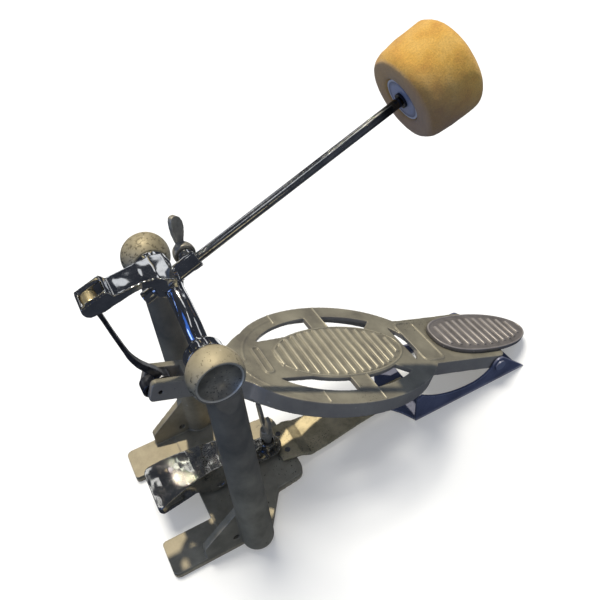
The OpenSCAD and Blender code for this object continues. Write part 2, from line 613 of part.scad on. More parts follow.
// flat strap that ties the heel bracket to the base tongue
strap_side = [[tongue_rear - 10.5, base_t + 0.02], [tongue_rear + 3.5, base_t + 0.02],
  [tongue_rear + 11.5, strap_z + 0.02], [brk_front + 14, strap_z + 0.02], [brk_front + 14, strap_z + strap_t],
  [tongue_rear + 12.5, strap_z + strap_t], [tongue_rear + 4.5, base_t + strap_t],
  [tongue_rear - 10.5, base_t + strap_t]];
strap_plan = whole([[brk_front + 14, 0.54 * strap_half], [brk_front - 14, 0.56 * strap_half],
  [brk_front - 25, 0.62 * strap_half], [brk_front - 39, 0.69 * strap_half], [brk_front - 54, 0.8 * strap_half],
  [brk_front - 70, 0.92 * strap_half], [tongue_rear + 10, strap_half], [tongue_rear, 0.94 * strap_half],
  [tongue_rear - 10.5, 0.83 * strap_half]]);
module connecting_strap() color("#8a7f62") difference() {
  intersection() {
    across(strap_side, -strap_half - 1, strap_half + 1);
    slab(strap_plan, 0, 30);
  }
  for (x = rivet_x) translate([x, 0, -1]) cylinder(h = 9, r = 2.05, $fn = 32);
  for (y = [-8, 8]) translate([strap_screw_x, y, 0]) cylinder(h = 20, r = 2.05, $fn = 32);
}
module strap_rivets() color("#9da1a6") for (x = rivet_x) translate([x, 0, 0]) {
  translate([0, 0, 0.1]) cylinder(h = strap_z + strap_t, r = 2, $fn = 32);
  translate([0, 0, strap_z + strap_t + 0.05]) cylinder(h = 1.4, r1 = 3.6, r2 = 2.4, $fn = 32);
}
module strap_screws() color("#9da1a6") for (y = [-8, 8]) translate([strap_screw_x, y, 0]) {
  translate([0, 0, 2.1]) cylinder(h = base_t + strap_t - 2.3, r = 2, $fn = 32);
  translate([0, 0, 0.4]) cylinder(h = 1.75, r = 3.6, $fn = 32);
}

// hoop clamp: a chromed lever with turned-down sides, pinned over the base
crown = [[0, 31.8], [-8, 32.8], [-18, 32.8], [-26, 32], [-34, 30.6], [-41, 28.8], [-46, 27]];
module clamp_side(t) polygon(concat([[cscrew_x + 9.5, 13 - t], [33, 13 - t], [29, 15.4 - t], [23, 20.8 - t],
  [16, 26 - t], [8, 29.8 - t]], [for (p = crown) [p[0], p[1] - t]],
  [[-clamp_front + t, 25.4 - t], [-clamp_front + t, lip_z - 2 * t], [-22, 19 - 2 * t], [-13, 10.5 - 2 * t]],
  [[-pivot_x - 4, 7.6 - 2 * t], [-pivot_x + 4, 7.6 - 2 * t], [10, 10.4 - 2 * t],
  [cscrew_x + 9.5, 10.4 - 2 * t]]));
module clamp_plan(t) polygon(whole(concat(arc(cscrew_x, 0, 9.5 - t, 0, 75, 6),
  [[26, 10.6 - t], [0, 11.8 - t], [-18, 13.4 - t], [-34, 16.2 - t]],
  arc(-clamp_front + 4, 14 - t, 4, 100, 180, 5))));
module hoop_clamp() color("#c9cdd2") difference() {
  intersection() {
    translate([0, 20, 0]) rotate([90, 0, 0]) linear_extrude(40) clamp_side(0);
    linear_extrude(60) clamp_plan(0);
  }
  intersection() {
    translate([0, 20, 0]) rotate([90, 0, 0]) linear_extrude(40) clamp_side(clamp_t);
    translate([0, 0, -10]) linear_extrude(70) clamp_plan(clamp_t);
  }
  yrod(-pivot_x, pivot_z, pin_r + run, -20, 20, 40);
  translate([cscrew_x, 0, 0]) cylinder(h = 30, r = 5, $fn = 40);
}
module clamp_pivot_pin() color("#b4b8bd") yrod(-pivot_x, pivot_z, pin_r, -11.4, 11.4, 40);
// collar in the clamp's tail that the clamp screw works through
module clamp_collar() color("#c9cdd2") translate([cscrew_x, 0, 0]) difference() {
  union() {
    translate([0, 0, 10.4]) cylinder(h = 4, r = 5 - seat, $fn = 48);
    translate([0, 0, 13.05]) cylinder(h = 6.6, r = 6.2, $fn = 48);
  }
  cylinder(h = 40, r = cscrew_r + 1.2, $fn = 40);
}
wing_half = concat([[0, 0]], [[4.6, 0], [4.6, 5.5]], [[6.6, 8.5], [8.6, 15]],
  arc(7.4, wing_top - 29.2, 3.2, 0, 120, 6), [[3.4, wing_top - 34], [1.6, 12], [0, 11]]);
module clamp_wing_screw() color("#85888d") translate([cscrew_x, 0, 0]) {
  translate([0, 0, base_t - 0.9]) cylinder(h = 24, r = cscrew_r, $fn = 40);
  translate([0, 0, 26]) cylinder(h = 7, r1 = 5.2, r2 = 4.2, $fn = 48);
  translate([-1.3, 0, 26]) rotate([90, 0, 90]) linear_extrude(2.6) {
    polygon(wing_half);
    mirror([1, 0]) polygon(wing_half);
  }
}

// beater: steel rod, felt head and its washers and nut
module beater_rod() color("#c9cdd2") on_rod() {
  translate([0, 0, 1 - socket_tail]) cylinder(h = felt_top + 2 + socket_tail - 1, r = rod_r, $fn = 40);
  translate([0, 0, felt_s + recess - washer_t - 1.6]) cylinder(h = 1.5, r = 4.4, $fn = 40);
}
felt_profile = concat([[rod_r + 0.1, felt_s + recess], [washer_r + 0.3, felt_s + recess],
  [washer_r + 1.2, felt_s]], [[felt_r_low - 4.9, felt_s]],
  arc(felt_r_low - 10.4, felt_s + 8.2, 10.4, -48, 0, 6), arc(felt_r_top - 7, felt_top - 7, 7, 0, 85, 8),
  [[9, felt_top], [9, felt_top - 3], [rod_r + 0.1, felt_top - 3]]);
module beater_felt() color("#d9a441") on_rod() rotate_extrude($fn = 96) polygon(felt_profile);
module ring(z, r, h) translate([0, 0, z]) difference() {
  cylinder(h = h, r = r, $fn = 48);
  translate([0, 0, -1]) cylinder(h = h + 2, r = rod_r + 0.05, $fn = 40);
}
module beater_washer_lower() color("#8b93a0") on_rod() ring(felt_s + recess - washer_t - 0.05, washer_r, washer_t);
module beater_washer_upper() color("#8b93a0") on_rod() ring(felt_top - 2.95, 8.6, washer_t);
module beater_nut() color("#8b93a0") on_rod() translate([0, 0, felt_top - 2.9 + washer_t]) difference() {
  cylinder(h = 3.6, r = 5.5, $fn = 6);
  translate([0, 0, -1]) cylinder(h = 6, r = rod_r + 0.05, $fn = 40);
}
// screw with a single thumb wing that grips the beater rod from the right
blade = [[-1.8, 3], [-3, 7], [-3.9, 11.5], [-4.2, 16], [-3.9, 20], [-3, 22], [-1.6, 22.5], [0.6, 21.9],
  [2.8, 19.8], [4.3, 16.4], [4.5, 13], [3.6, 9], [2.2, 5.4], [1.8, 3]];
module beater_wing_screw() color("#85888d") on_rod() translate([0, 0, screw_s]) {
  rotate([-90, 0, 0]) rotate_extrude($fn = 48) polygon([[0, rod_r + 0.35], [screw_r, rod_r + 0.35],
    [screw_r, 8.25], [5.9, 8.25], [6.3, 8.9], [6.2, 11.2], [5.6, 13.4], [4.5, 15.2], [2.6, 16.6], [0, 17]]);
  rotate([0, rod_angle - 90, 0]) translate([0, 14.6, 0]) rotate([90, 0, 30]) translate([0, 0, -1.35])
    linear_extrude(2.7) polygon(blade);
}

frame_casting();
head_cap(true);  // left_head_cap
head_cap(false);  // right_head_cap
outer_race(true);  // left_bearing_outer_race
outer_race(false);  // right_bearing_outer_race
balls(true);  // left_bearing_balls
balls(false);  // right_bearing_balls
inner_race(true);  // left_bearing_inner_race
inner_race(false);  // right_bearing_inner_race
rocker_axle(true);  // left_rocker_axle
rocker_axle(false);  // right_rocker_axle
thrust_rod(true);  // left_thrust_rod
thrust_rod(false);  // right_thrust_rod
plunger(true);  // left_spring_plunger
plunger(false);  // right_spring_plunger
spring(true);  // left_spring
spring(false);  // right_spring
adjuster(true);  // left_spring_adjuster
adjuster(false);  // right_spring_adjuster
rocker_casting();
crank_pin();
link_strap();
toe_pin();
footboard();
heel_plate();
heel_plate_screws();
hinge_pin();
heel_bracket();
connecting_strap();
strap_rivets();
strap_screws();
hoop_clamp();
clamp_pivot_pin();
clamp_collar();
clamp_wing_screw();
beater_rod();
beater_felt();
beater_washer_lower();
beater_washer_upper();
beater_nut();
beater_wing_screw();
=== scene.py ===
import math

import bmesh
import bpy
from mathutils import Matrix, Vector, noise


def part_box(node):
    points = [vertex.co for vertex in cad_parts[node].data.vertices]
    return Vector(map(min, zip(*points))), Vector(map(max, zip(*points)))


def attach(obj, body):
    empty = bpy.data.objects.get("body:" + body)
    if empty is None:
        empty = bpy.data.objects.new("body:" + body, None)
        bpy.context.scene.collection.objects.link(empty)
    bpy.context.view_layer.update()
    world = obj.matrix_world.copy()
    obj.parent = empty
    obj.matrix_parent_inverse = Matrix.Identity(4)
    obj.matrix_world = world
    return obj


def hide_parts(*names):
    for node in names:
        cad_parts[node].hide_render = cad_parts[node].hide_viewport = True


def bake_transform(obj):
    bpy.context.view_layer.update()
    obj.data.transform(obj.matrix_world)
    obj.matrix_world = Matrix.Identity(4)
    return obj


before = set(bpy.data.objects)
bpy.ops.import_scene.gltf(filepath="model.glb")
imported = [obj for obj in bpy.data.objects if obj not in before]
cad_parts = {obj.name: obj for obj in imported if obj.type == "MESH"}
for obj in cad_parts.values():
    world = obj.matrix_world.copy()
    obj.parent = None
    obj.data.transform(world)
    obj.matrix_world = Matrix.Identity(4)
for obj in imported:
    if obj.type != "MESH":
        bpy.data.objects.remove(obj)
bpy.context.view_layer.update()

# The frame is one sand casting in aluminium: base plate with two hoop prongs, two hollow posts and the
# ball-shaped bearing heads. It was never painted, so it is dull, stained and rubbed bright on its edges.
# A voxel skin and a few smoothing passes give the CAD solid the soft corners of a casting.
MM = 0.001


def linear(hex_colour):
    """sRGB hex to the linear colour that shader sockets take."""
    parts = [int(hex_colour[i:i + 2], 16) / 255 for i in (1, 3, 5)]
    return tuple(c / 12.92 if c <= 0.04045 else ((c + 0.055) / 1.055) ** 2.4 for c in parts) + (1.0,)


def add(tree, kind, inputs=None, stops=None, **settings):
    """Adds a node with its settings and colour stops, and links or sets its sockets."""
    made = tree.nodes.new(kind)
    for key, value in settings.items():
        setattr(made, key, value)
    for key, value in (inputs or {}).items():
        if isinstance(value, bpy.types.NodeSocket):
            tree.links.new(value, made.inputs[key])
        else:
            made.inputs[key].default_value = value
    for i, (place, colour) in enumerate(stops or ()):
        bar = made.color_ramp.elements
        step = bar[i] if i < len(bar) else bar.new(place)
        step.position, step.color = place, linear(colour)
    return made


def begin(name):
    """An empty finish: its tree, its shader and the object's own coordinates in metres."""
    made = bpy.data.materials.new(name)
    made.use_nodes = True
    tree = made.node_tree
    tree.nodes.clear()
    shader = add(tree, "ShaderNodeBsdfPrincipled")
    add(tree, "ShaderNodeOutputMaterial", {"Surface": shader.outputs["BSDF"]})
    return made, tree, shader, add(tree, "ShaderNodeTexCoord").outputs["Object"]


# Pits gather in patches a few blotches wide. On the posts they are few. Painted shade and some grime darken
# only the deep corners.
PATCH_BLOTCHES, PATCH_PULL = 2.2, 0.45
PIT_LIMIT, PIT_EDGE, PIT_SHARE, PIT_DEPTH = 0.95, 0.06, 0.2, 0.06 * MM
FEWER_PITS, FEWEST_PITS, FOOT_FADE, TOP_FADE = -0.11, -0.2, 6 * MM, 8 * MM
GRIME_AND_SHADE_REACH = 5 * MM
FINE_GRAIN_MM = 3


def aged_metal(name, tones, worn, stain_and_shade, metallic, rough, blotch_mm, pit_mm, pits, grain_mm, bump_mm,
               edge=0.5, grime_and_shade=0.6, sound=None):
    """Metal that has aged: blotches, pits, rubbed edges, a grain in the bump, and painted shade with some
    grime in the corners.

    sound gives the lowest and highest millimetre of the height where pits are few.
    """
    made, tree, shader, place = begin(name)
    blotch = add(tree, "ShaderNodeTexNoise", {
        "Vector": place, "Scale": 1 / (blotch_mm * MM), "Detail": 6.0, "Roughness": 0.62}).outputs["Fac"]
    tone = add(tree, "ShaderNodeValToRGB", {"Fac": blotch},
               stops=[(0.32, tones[0]), (0.5, tones[1]), (0.68, tones[2])]).outputs["Color"]
    speck = add(tree, "ShaderNodeTexNoise", {
        "Vector": place, "Scale": 1 / (pit_mm * MM), "Detail": 3.0, "Roughness": 0.7}).outputs["Fac"]
    patch = add(tree, "ShaderNodeTexNoise", {
        "Vector": place, "Scale": 1 / (PATCH_BLOTCHES * blotch_mm * MM), "Detail": 1.0}).outputs["Fac"]
    crowd = add(tree, "ShaderNodeMath", {0: patch, 1: PATCH_PULL, 2: speck},
                operation="MULTIPLY_ADD").outputs["Value"]
    if sound:
        height = add(tree, "ShaderNodeSeparateXYZ", {0: place}).outputs["Z"]
        foot = add(tree, "ShaderNodeMapRange", {
            "Value": height, "From Min": sound[0] * MM, "From Max": sound[0] * MM + FOOT_FADE,
            "To Min": FEWER_PITS, "To Max": FEWEST_PITS}).outputs["Result"]
        top = add(tree, "ShaderNodeMapRange", {
            "Value": height, "From Min": sound[1] * MM, "From Max": sound[1] * MM + TOP_FADE,
            "To Min": FEWEST_PITS, "To Max": 0.0}).outputs["Result"]
        spared = add(tree, "ShaderNodeMath", {0: foot, 1: top}, operation="MAXIMUM").outputs["Value"]
        crowd = add(tree, "ShaderNodeMath", {0: crowd, 1: spared}, operation="ADD").outputs["Value"]
    limit = PIT_LIMIT - PIT_SHARE * pits
    pit = add(tree, "ShaderNodeMapRange", {
        "Value": crowd, "From Min": limit, "From Max": limit + PIT_EDGE}).outputs["Result"]
    marked = add(tree, "ShaderNodeMix", {0: pit, 6: tone, 7: linear(stain_and_shade)}, data_type="RGBA").outputs[2]
    # Painted shade, partly grime: corners that ambient occlusion finds closed in turn towards the stain
    # colour.
    open_sky = add(tree, "ShaderNodeAmbientOcclusion", {"Distance": GRIME_AND_SHADE_REACH}, samples=6).outputs["AO"]
    corner = add(tree, "ShaderNodeMapRange", {
        "Value": open_sky, "From Min": 0.35, "From Max": 0.85,
        "To Min": grime_and_shade, "To Max": 0.0}).outputs["Result"]
    grime_and_shade_colour = add(tree, "ShaderNodeMix", {0: corner, 6: marked, 7: linear(stain_and_shade)}, data_type="RGBA").outputs[2]
    sharp = add(tree, "ShaderNodeNewGeometry").outputs["Pointiness"]
    rubbed = add(tree, "ShaderNodeMapRange", {
        "Value": sharp, "From Min": 0.52, "From Max": 0.6, "To Max": edge}).outputs["Result"]
    colour = add(tree, "ShaderNodeMix", {0: rubbed, 6: grime_and_shade_colour, 7: linear(worn)}, data_type="RGBA").outputs[2]
    tree.links.new(colour, shader.inputs["Base Color"])
    uneven = add(tree, "ShaderNodeMapRange", {
        "Value": blotch, "From Min": 0.3, "From Max": 0.7, "To Min": rough[0], "To Max": rough[1]})
    tree.links.new(uneven.outputs["Result"], shader.inputs["Roughness"])
    grain = add(tree, "ShaderNodeTexNoise", {
        "Vector": place, "Scale": 1 / (grain_mm * MM), "Detail": 4.0 if grain_mm < FINE_GRAIN_MM else 0.0})
    wave = add(tree, "ShaderNodeBump", {
        "Height": grain.outputs["Fac"], "Distance": bump_mm * MM, "Strength": 0.6}).outputs["Normal"]
    sunk = add(tree, "ShaderNodeBump", {
        "Height": pit, "Distance": PIT_DEPTH, "Strength": 0.6, "Normal": wave}, invert=True)
    tree.links.new(sunk.outputs["Normal"], shader.inputs["Normal"])
    shader.inputs["Metallic"].default_value = metallic
    return made


def dress(name, finish, voxel_mm=0.0, passes=0):
    """Gives a CAD node its finish, and a voxel skin with smoothing where it is cast, pressed or plated."""
    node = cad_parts[name]
    node.data.materials.clear()
    node.data.materials.append(finish)
    if voxel_mm:
        wrap = node.modifiers.new("skin", "REMESH")
        wrap.mode, wrap.voxel_size, wrap.use_smooth_shade = "VOXEL", voxel_mm * MM, True
        soften = node.modifiers.new("soften", "SMOOTH")
        soften.factor, soften.iterations = 0.5, passes


# Aged sand-cast aluminium: grey-tan and half dull, with dark stains, small pits and rubbed edges.
# Sand grain, nearer 0.3 mm, is too fine for the picture and is drawn at 0.7 or 0.8 mm on all the castings.
cast_aluminium = aged_metal("cast_aluminium_aged", ("#867f69", "#9c937b", "#ada489"), "#cbc5b2", "#35332c",
                            metallic=0.25, rough=(0.46, 0.64), blotch_mm=16, pit_mm=2.3, pits=0.66,
                            grain_mm=0.8, bump_mm=0.14, edge=0.5, sound=(14, 160))
dress("frame_casting", cast_aluminium, 0.5, 3)


def reading(finish, what, way, centre=(0, 0, 0)):
    """A value over a piece: how far it lies along a way or off an axis, or how much it faces that way."""
    tree = finish.node_tree
    coords = add(tree, "ShaderNodeTexCoord").outputs
    arm = coords["Normal"]
    if what != "facing":
        arm = add(tree, "ShaderNodeVectorMath", {0: coords["Object"], 1: tuple(centre)},
                  operation="SUBTRACT").outputs["Vector"]
    if what != "off":
        return add(tree, "ShaderNodeVectorMath", {0: arm, 1: tuple(way)},
                   operation="DOT_PRODUCT").outputs["Value"]
    side = add(tree, "ShaderNodeVectorMath", {0: arm, 1: tuple(way)},
               operation="CROSS_PRODUCT").outputs["Vector"]
    return add(tree, "ShaderNodeVectorMath", {0: side}, operation="LENGTH").outputs["Value"]


def tint(finish, value, start, full, amount, colour):
    """Lays a second colour over a finish, coming in as a reading goes from start to full."""
    tree = finish.node_tree
    shader = tree.nodes["Principled BSDF"]
    mask = add(tree, "ShaderNodeMapRange", {
        "Value": value, "From Min": start, "From Max": full, "To Max": amount}).outputs["Result"]
    under = shader.inputs["Base Color"].links[0].from_socket
    over = add(tree, "ShaderNodeMix", {0: mask, 6: under, 7: linear(colour)}, data_type="RGBA").outputs[2]
    tree.links.new(over, shader.inputs["Base Color"])


# The posts carry painted shade, bluish and darker towards their tops under the heads; the heads have yellowed
# a little.
POST_SHADE_START, POST_SHADE_FULL, POST_TOP, HEAD_FOOT, HEAD_MIDDLE = (h * MM for h in (45, 120, 160, 170, 185))
height = reading(cast_aluminium, "along", (0, 0, 1))
post_shade_amount = add(cast_aluminium.node_tree, "ShaderNodeMapRange", {
    "Value": height, "From Min": POST_TOP, "From Max": HEAD_FOOT,
    "To Min": 0.5, "To Max": 0.0}).outputs["Result"]
# Painted shade on the posts: darker from 45 to 120 mm up, fading out just below the heads.
tint(cast_aluminium, height, POST_SHADE_START, POST_SHADE_FULL, post_shade_amount, "#2c3644")
tint(cast_aluminium, height, HEAD_FOOT, HEAD_MIDDLE, 0.22, "#ead9a4")

# Each head is closed on its outer side by a cap pressed from thin aluminium: a shallow dish with a narrow
# rim, pushed into the head's bore.
# Pressed aluminium, dull and rubbed pale on its edges. Painted shade darkens the dish towards its rim, and a
# painted highlight lies on the rim.
cap_aluminium = aged_metal("cap_aluminium_pressed", ("#7d796c", "#989281", "#aba48f"), "#e0dac6", "#2d2b26",
                           metallic=0.4, rough=(0.36, 0.52), blotch_mm=9, pit_mm=1.3, pits=0.5,
                           grain_mm=0.8, bump_mm=0.1, edge=1.0, grime_and_shade=0.9)
low, high = (Vector(corner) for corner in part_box("left_head_cap"))
CAP_R = (high.x - low.x) / 2
CAP_RIM_IN, CAP_RIM_OUT = CAP_R - 1.4 * MM, CAP_R - 0.8 * MM
DISH_SHADING = 5.5 * MM
from_axis = reading(cap_aluminium, "off", (0, 1, 0), (low + high) / 2)
# Painted shade: a dark ring in the dish, towards its rim.
tint(cap_aluminium, from_axis, 0.5 * CAP_R, 0.85 * CAP_R, 0.25, "#2d2b26")
# Painted highlight: a pale ring on the rim.
tint(cap_aluminium, from_axis, CAP_RIM_IN, CAP_RIM_OUT, 0.9, "#e6e0cc")

# The dish is in the solid. A bowl in the bump, under the grain and the pits, deepens how it takes the light.
tree = cap_aluminium.node_tree
share = add(tree, "ShaderNodeMath", {0: from_axis, 1: CAP_R}, operation="DIVIDE").outputs["Value"]
rise = add(tree, "ShaderNodeMath", {0: share, 1: 2.0}, operation="POWER").outputs["Value"]
bowl = add(tree, "ShaderNodeBump", {"Height": rise, "Distance": DISH_SHADING, "Strength": 1.0})
pit_bump = tree.nodes["Principled BSDF"].inputs["Normal"].links[0].from_node
grain_bump = pit_bump.inputs["Normal"].links[0].from_node
tree.links.new(bowl.outputs["Normal"], grain_bump.inputs["Normal"])
for side in ("left", "right"):
    dress(side + "_head_cap", cap_aluminium, 0.25, 2)

# Ball bearings and the steel axles that carry the rocker sit inside the heads, with the thrust rods,
# plungers, springs and adjusters in the posts.
# Ground steel: clean and grey, with a soft even shine and hardly a mark.
ground_steel = aged_metal("bearing_steel_ground", ("#8e9194", "#a6a9ac", "#b9bcbf"), "#d0d2d4", "#4b4c4e",
                          metallic=1.0, rough=(0.22, 0.34), blotch_mm=6, pit_mm=0.8, pits=0.15,
                          grain_mm=0.3, bump_mm=0.02)
for side in ("left", "right"):
    for part in ("bearing_outer_race", "bearing_balls", "bearing_inner_race", "rocker_axle", "thrust_rod",
                 "spring_plunger", "spring_adjuster"):
        dress(f"{side}_{part}", ground_steel)

# The return springs are coiled from hard-drawn wire, one in each post, between the adjuster and the plunger.
# Each is shown as a coil of wire that fills the spring's place.
WIRE, CURLS, STEPS, WIRE_SIDES = 1.7 * MM, 14, 24, 8


def skin(shape, rings, closed=False):
    """Adds faces from ring to ring of points, back to the first ring or with both ends filled."""
    rows = [[shape.verts.new(point) for point in ring] for ring in rings]
    for one, two in zip(rows, rows[1:] + rows[:1] if closed else rows[1:]):
        for k in range(len(one)):
            j = (k + 1) % len(one)
            shape.faces.new((one[k], one[j], two[j], two[k]))
    if not closed:
        shape.faces.new(rows[0])
        shape.faces.new(rows[-1])


def piece(name, shape, *finishes):
    """A smooth-shaded object made of the faces so far, turned to look outwards."""
    bmesh.ops.recalc_face_normals(shape, faces=shape.faces)
    mesh = bpy.data.meshes.new(name)
    shape.to_mesh(mesh)
    shape.free()
    for face in mesh.polygons:
        face.use_smooth = True
    for finish in finishes:
        mesh.materials.append(finish)
    made = bpy.data.objects.new(name, mesh)
    bpy.context.collection.objects.link(made)
    return made


for side in ("left", "right"):
    low, high = (Vector(corner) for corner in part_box(side + "_spring"))
    middle, coil = (low + high) / 2, (high.x - low.x - WIRE) / 2
    rings = []
    for i in range(CURLS * STEPS + 1):
        turn = 2 * math.pi * i / STEPS
        rise = low.z + WIRE / 2 + (high.z - low.z - WIRE) * i / (CURLS * STEPS)
        ring = []
        for k in range(WIRE_SIDES):
            a = 2 * math.pi * k / WIRE_SIDES
            reach = coil + WIRE / 2 * math.cos(a)
            ring.append((middle.x + reach * math.cos(turn), middle.y + reach * math.sin(turn),
                         rise + WIRE / 2 * math.sin(a)))
        rings.append(ring)
    shape = bmesh.new()
    skin(shape, rings)
    spring = piece(side + "_return_spring", shape, ground_steel)
    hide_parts(side + "_spring")
    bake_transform(spring)

# The rocker is one casting, polished and chrome plated: two arched arms, the beater socket and a forked
# crank. It turns on the axles in the heads, and a steel pin across its fork carries the link.
# Polished chrome shows dark and bright bands; its slight waves and pits break them up.
chrome = aged_metal("chrome_plate_polished", ("#b9bdc3", "#cdd0d4", "#d9dbde"), "#e2e3e4", "#3a3b3d",
                    metallic=1.0, rough=(0.05, 0.11), blotch_mm=9, pit_mm=0.8, pits=0.1,
                    grain_mm=9, bump_mm=1.5, edge=0.2, grime_and_shade=0.4)
dress("rocker_casting", chrome, 0.4, 5)
# Bare pin steel that old oil has browned: straw coloured, with a soft shine.
warm_steel = aged_metal("pin_steel_oiled", ("#8f7c52", "#b09a68", "#c8b27e"), "#d8c693", "#3b3222",
                        metallic=0.6, rough=(0.3, 0.45), blotch_mm=4, pit_mm=0.8, pits=0.3,
                        grain_mm=0.6, bump_mm=0.03)
dress("crank_pin", warm_steel)

# The link is a bent steel strap with an eye at each end, on the crank pin and on the toe pin.
# Dull zinc plate: dark grey with little shine. The upper eye carries painted light, a pale tan.
zinc_steel = aged_metal("zinc_plated_steel", ("#43454b", "#585a60", "#6d6f75"), "#a5a7aa", "#28292c",
                        metallic=0.9, rough=(0.26, 0.42), blotch_mm=5, pit_mm=0.7, pits=0.25,
                        grain_mm=0.5, bump_mm=0.03)
EYE_LIGHT_FOOT, EYE_LIGHT_FULL = -6 * MM, -4.5 * MM
low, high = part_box("crank_pin")
pin_height = (low[2] + high[2]) / 2
# Painted light: the upper eye of the strap is tinted pale tan.
tint(zinc_steel, reading(zinc_steel, "along", (0, 0, 1)), pin_height + EYE_LIGHT_FOOT, pin_height + EYE_LIGHT_FULL,
     0.95, "#ead9aa")
dress("link_strap", zinc_steel, 0.35, 4)
dress("toe_pin", zinc_steel)

# The footboard is an aluminium casting: a ring with four windows, a ribbed tread panel, a skirt and a neck.
# Its ribs and frames are cast with it and stand on its top, where shoes have rubbed them.
# Cast aluminium under dirt: stained and half dull on top, bright on edges, and paler with painted fill light
# where the sides face out.
board_aluminium = aged_metal("board_aluminium_cast", ("#7a766a", "#908c7b", "#9f9b88"), "#bab5a6", "#302e2a",
                             metallic=0.35, rough=(0.36, 0.54), blotch_mm=24, pit_mm=1.1, pits=0.25,
                             grain_mm=0.7, bump_mm=0.12, edge=0.9)
dress("footboard", board_aluminium, 0.5, 2)
BOARD_TILT = math.radians(22.4)
HINGE = Vector((231.4, 0.0, 18.75))
TREAD = 7.5
board_up = (math.sin(BOARD_TILT), 0, math.cos(BOARD_TILT))
# Painted light: faces that turn away from the board's top are made paler.
tint(board_aluminium, reading(board_aluminium, "facing", board_up), 0.45, 0.15, 0.35, "#c6bdb4")


def on_board(u, y, n):
    """A place in front of the heel hinge along the board, across it and above its pin, in world metres."""
    across = Vector((n * math.sin(BOARD_TILT) - u * math.cos(BOARD_TILT), y,
                     n * math.cos(BOARD_TILT) + u * math.sin(BOARD_TILT)))
    return (HINGE + across) * MM


BEAD_SIDES, BEAD_SUNK, BEAD_FULLNESS, BEAD_ENDS = 8, 0.4, 0.6, (0.55, 0.95, 1.25)


def beads(name, paths, wide, high, base, finish):
    """Rounded bars along paths on the board, closed solids that stand a little in its surface."""
    shape = bmesh.new()
    for path in paths:
        loop = path[0] == path[-1]
        spots = [Vector(p) for p in (path[:-1] if loop else path)]
        rows = []
        for i, spot in enumerate(spots):
            ahead = spots[(i + 1) % len(spots)] if loop or i + 1 < len(spots) else spot
            behind = spots[i - 1] if loop or i else spot
            rows.append((spot, (ahead - behind).normalized(), 1.0))
        if not loop:
            for turn in BEAD_ENDS:
                one, two, past = rows[0][1], rows[-1][1], wide / 2 * math.sin(turn)
                rows = ([(spots[0] - one * past, one, math.cos(turn))] + rows
                        + [(spots[-1] + two * past, two, math.cos(turn))])
        rings = []
        for spot, way, size in rows:
            ring = []
            for k in range(BEAD_SIDES):
                a = math.pi * k / (BEAD_SIDES - 1)
                at = spot + Vector((-way.y, way.x)) * math.cos(a) * wide / 2 * size
                rise = (high + BEAD_SUNK) * size * math.sin(a) ** BEAD_FULLNESS
                ring.append(on_board(at.x, at.y, base - BEAD_SUNK + rise))
            rings.append(ring)
        skin(shape, rings, loop)
    made = piece(name, shape, finish)
    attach(made, "board")


def oval(u, a, b, count=96):
    """A closed oval path on the board."""
    turns = [2 * math.pi * (k % count) / count for k in range(count + 1)]
    return [(u + a * math.cos(t), b * math.sin(t)) for t in turns]


def oblong(u0, u1, half, corner):
    """A closed rounded oblong path on the board."""
    path = []
    for cu, cy, start in ((u1 - corner, half - corner, 0), (u0 + corner, half - corner, 90),
                          (u0 + corner, corner - half, 180), (u1 - corner, corner - half, 270)):
        path += [(cu + corner * math.cos(math.radians(start + 15 * k)),
                  cy + corner * math.sin(math.radians(start + 15 * k))) for k in range(7)]
    return path + path[:1]


# Cast aluminium rubbed by shoes: the same metal as the board, paler and smoother.
rubbed_aluminium = aged_metal("board_aluminium_rubbed", ("#918d7b", "#a5a08b", "#b4ae96"), "#c4bfad",
                              "#4a473e", metallic=0.35, rough=(0.34, 0.48), blotch_mm=14, pit_mm=0.9,
                              pits=0.2, grain_mm=0.7, bump_mm=0.08, edge=0.5, grime_and_shade=0.3)
PANEL_U, PANEL_A, PANEL_B = 141.2, 53.6, 26.2
RIBS, RIB_FIRST, RIB_PITCH, RIB_WIDE, RIB_HIGH = 15, 50.7, 6.9, 3.0, 1.25
RIB_FIELD_U, RIB_FIELD_A, RIB_FIELD_B, RIB_SHORT = PANEL_U + 2.3, PANEL_A - 2.1, PANEL_B - 1.9, 1.3
ribs = []
for i in range(RIBS):
    u = PANEL_U + RIB_FIRST - RIB_PITCH * i
    half = RIB_FIELD_B * math.sqrt(max(0, 1 - ((u - RIB_FIELD_U) / RIB_FIELD_A) ** 2)) - RIB_SHORT
    ribs.append([(u, -half), (u, 0.0), (u, half)])
beads("tread_ribs", ribs, RIB_WIDE, RIB_HIGH, TREAD, rubbed_aluminium)
FRAME_WIDE, FRAME_HIGH, FRAME_IN = 1.5, 0.75, 0.5
NECK_PLAQUE, TOE_PLAQUE = (57.2, 76.2, 22.2, 4.3), (202.2, 207.6, 12.6, 1.9)
CROSSBAR_U, CROSSBAR_Y, RING_BEAD_U, RING_BEAD_Y = 136.7, (26.8, 38.0, 50.4), 178.1, (35.8, 45.4)
lines = [oval(PANEL_U, PANEL_A - FRAME_IN, PANEL_B - FRAME_IN), oblong(*NECK_PLAQUE), oblong(*TOE_PLAQUE)]
for s in (-1, 1):
    lines.append([(CROSSBAR_U, s * y) for y in CROSSBAR_Y])
    lines.append([(RING_BEAD_U, s * y) for y in RING_BEAD_Y])
beads("tread_frames", lines, FRAME_WIDE, FRAME_HIGH, TREAD, rubbed_aluminium)

# The heel plate is a thinner casting, ribbed like the tread and screwed down on the footboard's arms.
# Cast aluminium that dirt has darkened: browner and duller than the board, with a raised rim.
plate_aluminium = aged_metal("plate_aluminium_cast", ("#65625f", "#797572", "#878380"), "#a8a4a0", "#242220",
                             metallic=0.3, rough=(0.38, 0.55), blotch_mm=18, pit_mm=1.0, pits=0.2,
                             grain_mm=0.7, bump_mm=0.09, edge=0.9)
dress("heel_plate", plate_aluminium, 0.35, 2)
